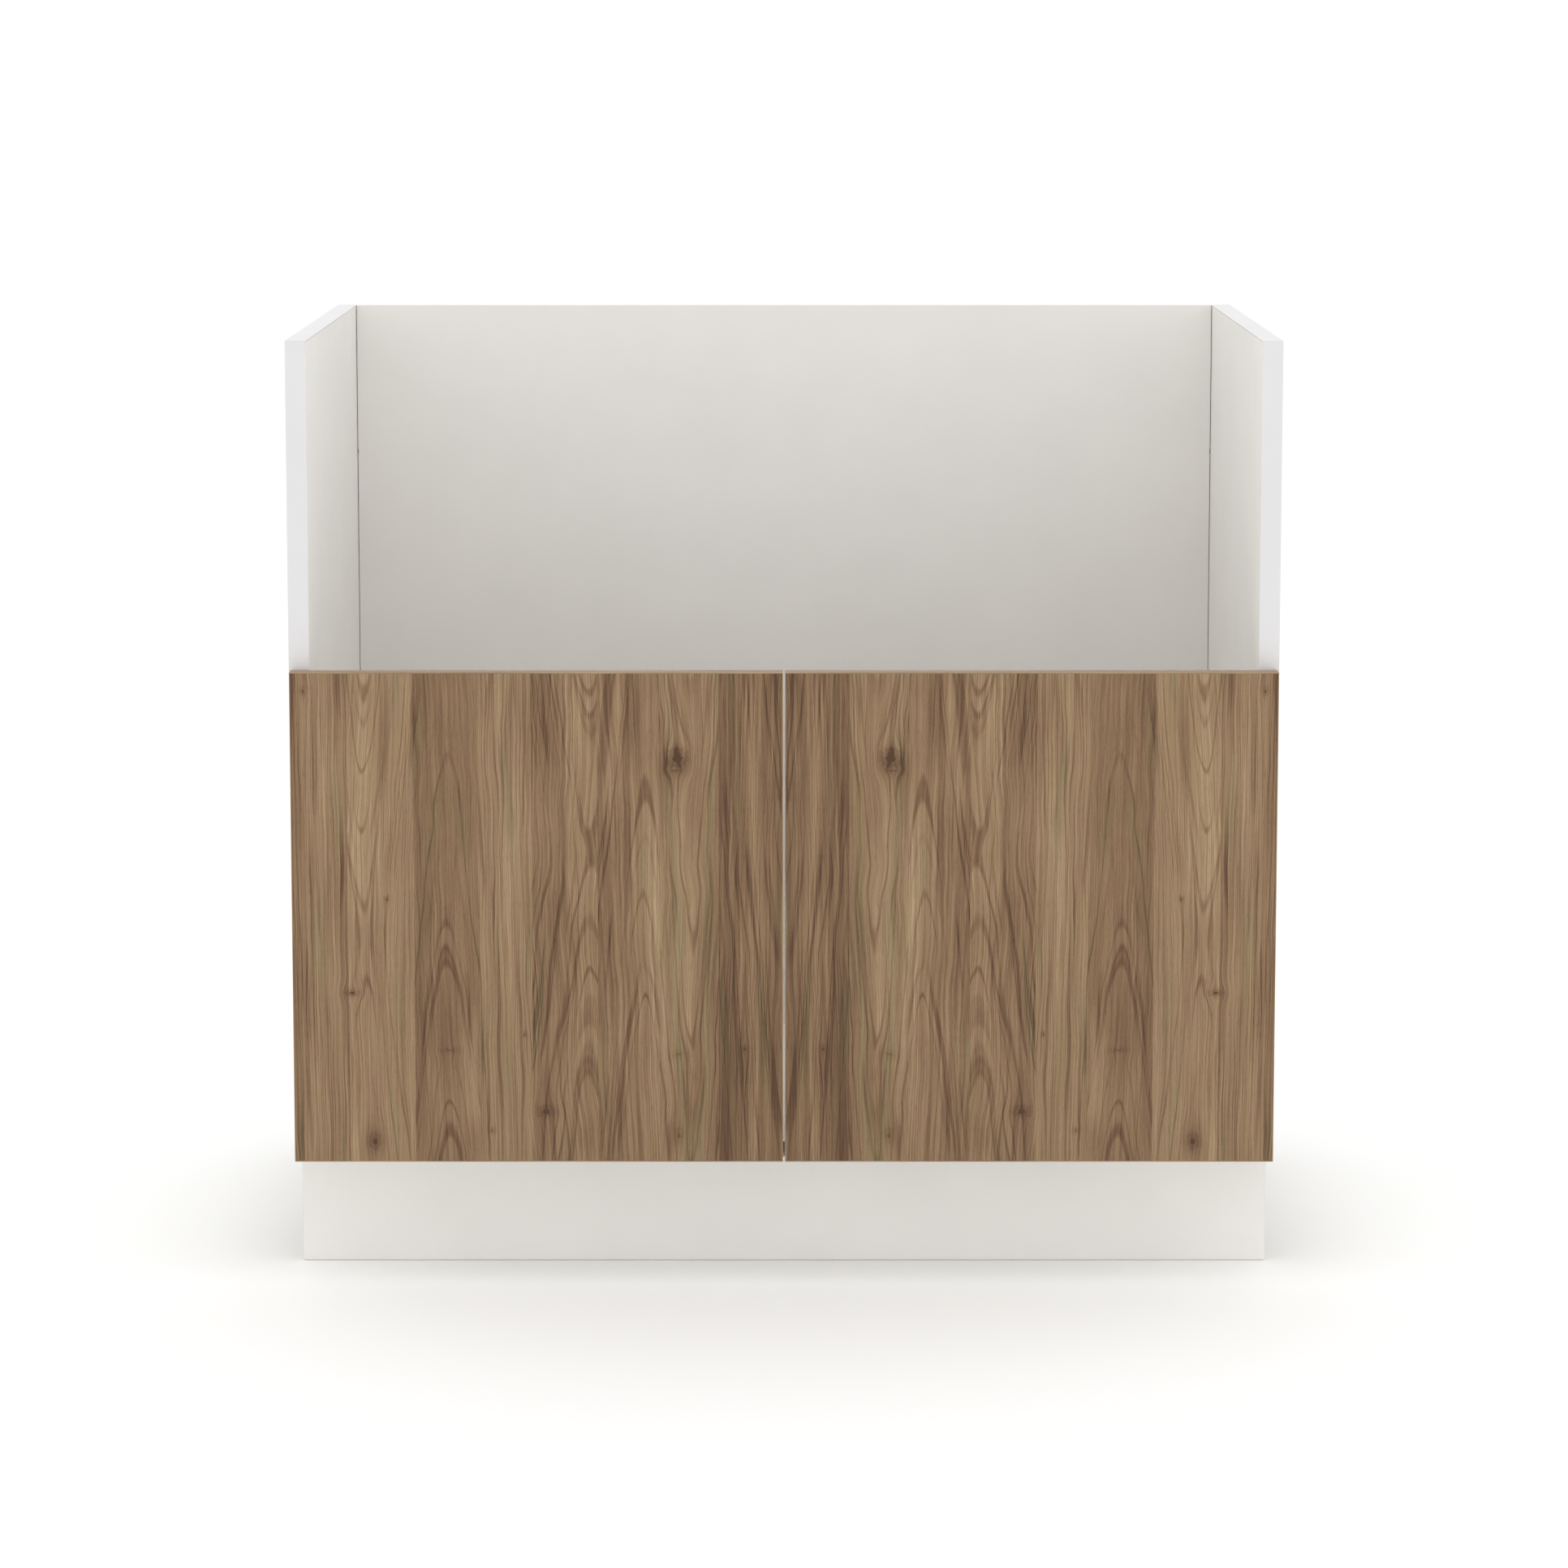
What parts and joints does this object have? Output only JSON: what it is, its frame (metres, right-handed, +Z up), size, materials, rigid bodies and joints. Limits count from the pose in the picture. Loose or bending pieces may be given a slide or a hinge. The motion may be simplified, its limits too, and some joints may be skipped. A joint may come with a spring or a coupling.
{
  "type": "apron-front sink base cabinet",
  "caption": "Kitchen base cabinet with an open top and an open front bay for an apron-front sink above slab doors, on levelling feet with a toe-kick board.",
  "frame": {"origin": "middle of the footprint, on the floor under the cabinet", "axes": "+X to the right as seen from the front, +Y from the doors to the back, +Z up"},
  "size_m": [0.9144, 0.6306, 0.878],
  "materials": {
    "white_board": "white melamine on particle board, satin with a fine orange-peel texture",
    "white_edge": "white plastic edge band, satin",
    "walnut": "planked walnut laminate with vertical grain and knots, matte",
    "nickel": "nickel-plated pressed steel",
    "zinc_steel": "zinc-plated steel",
    "black_plastic": "moulded black plastic, fine texture",
    "clear_rubber": "clear soft bumper"
  },
  "bodies": {
    "carcass": {"side_panel_left": "white_board", "side_front_band_left": "white_edge", "side_top_band_left": "white_edge", "side_panel_right": "white_board", "side_front_band_right": "white_edge", "side_top_band_right": "white_edge", "bottom_panel": "white_board", "bottom_front_band": "white_edge", "back_panel": "white_board", "bottom_screw_left_a": "zinc_steel", "bottom_screw_left_b": "zinc_steel", "back_screw_left_a": "zinc_steel", "back_screw_left_b": "zinc_steel", "bottom_screw_right_a": "zinc_steel", "bottom_screw_right_b": "zinc_steel", "back_screw_right_a": "zinc_steel", "back_screw_right_b": "zinc_steel", "foot_socket_front_left": "black_plastic", "foot_socket_rear_left": "black_plastic", "foot_socket_front_right": "black_plastic", "foot_socket_rear_right": "black_plastic", "hinge_plate_upper_left": "nickel", "hinge_arm_upper_left": "nickel", "hinge_arm_pin_upper_left": "zinc_steel", "hinge_plate_lower_left": "nickel", "hinge_arm_lower_left": "nickel", "hinge_arm_pin_lower_left": "zinc_steel", "hinge_plate_upper_right": "nickel", "hinge_arm_upper_right": "nickel", "hinge_arm_pin_upper_right": "zinc_steel", "hinge_plate_lower_right": "nickel", "hinge_arm_lower_right": "nickel", "hinge_arm_pin_lower_right": "zinc_steel"},
    "left_links": {"hinge_link_upper_left": "nickel", "hinge_link_lower_left": "nickel"},
    "left_door": {"door_left": "walnut", "door_bumper_left_outer": "clear_rubber", "door_bumper_left_inner": "clear_rubber", "hinge_cup_upper_left": "nickel", "hinge_cup_lower_left": "nickel", "hinge_cup_pin_upper_left": "zinc_steel", "hinge_cup_pin_lower_left": "zinc_steel"},
    "right_links": {"hinge_link_upper_right": "nickel", "hinge_link_lower_right": "nickel"},
    "right_door": {"door_right": "walnut", "door_bumper_right_outer": "clear_rubber", "door_bumper_right_inner": "clear_rubber", "hinge_cup_upper_right": "nickel", "hinge_cup_lower_right": "nickel", "hinge_cup_pin_upper_right": "zinc_steel", "hinge_cup_pin_lower_right": "zinc_steel"},
    "toe_kick": {"toe_kick_board": "white_board", "toe_kick_clip_left": "black_plastic", "toe_kick_clip_right": "black_plastic"},
    "front_left_foot": {"foot_front_left": "black_plastic"},
    "rear_left_foot": {"foot_rear_left": "black_plastic"},
    "front_right_foot": {"foot_front_right": "black_plastic"},
    "rear_right_foot": {"foot_rear_right": "black_plastic"}
  },
  "joints": [
    {"name": "left_link_turn", "type": "hinge", "parent": "carcass", "child": "left_links", "pos_m": [-0.4242, -0.28828, 0.34535], "axis": [0, 0, 1], "range_deg": [0, 40]},
    {"name": "left_door_turn", "type": "hinge", "parent": "left_links", "child": "left_door", "pos_m": [-0.4452, -0.29928, 0.34535], "axis": [0, 0, -1], "range_deg": [0, 140]},
    {"name": "right_link_turn", "type": "hinge", "parent": "carcass", "child": "right_links", "pos_m": [0.4242, -0.28828, 0.34535], "axis": [0, 0, -1], "range_deg": [0, 40]},
    {"name": "right_door_turn", "type": "hinge", "parent": "right_links", "child": "right_door", "pos_m": [0.4452, -0.29928, 0.34535], "axis": [0, 0, 1], "range_deg": [0, 140]},
    {"name": "toe_kick_pull", "type": "slide", "parent": "carcass", "child": "toe_kick", "axis": [0, -1, 0], "range_m": [0, 0.05]},
    {"name": "front_left_foot_travel", "type": "slide", "parent": "carcass", "child": "front_left_foot", "axis": [0, 0, -1], "range_m": [0, 0.025]},
    {"name": "rear_left_foot_travel", "type": "slide", "parent": "carcass", "child": "rear_left_foot", "axis": [0, 0, -1], "range_m": [0, 0.025]},
    {"name": "front_right_foot_travel", "type": "slide", "parent": "carcass", "child": "front_right_foot", "axis": [0, 0, -1], "range_m": [0, 0.025]},
    {"name": "rear_right_foot_travel", "type": "slide", "parent": "carcass", "child": "rear_right_foot", "axis": [0, 0, -1], "range_m": [0, 0.025]}
  ],
  "couplings": [
    {"joint": "left_link_turn", "follows": "left_door_turn", "ratio": 0.28571},
    {"joint": "right_link_turn", "follows": "right_door_turn", "ratio": 0.28571}
  ]
}
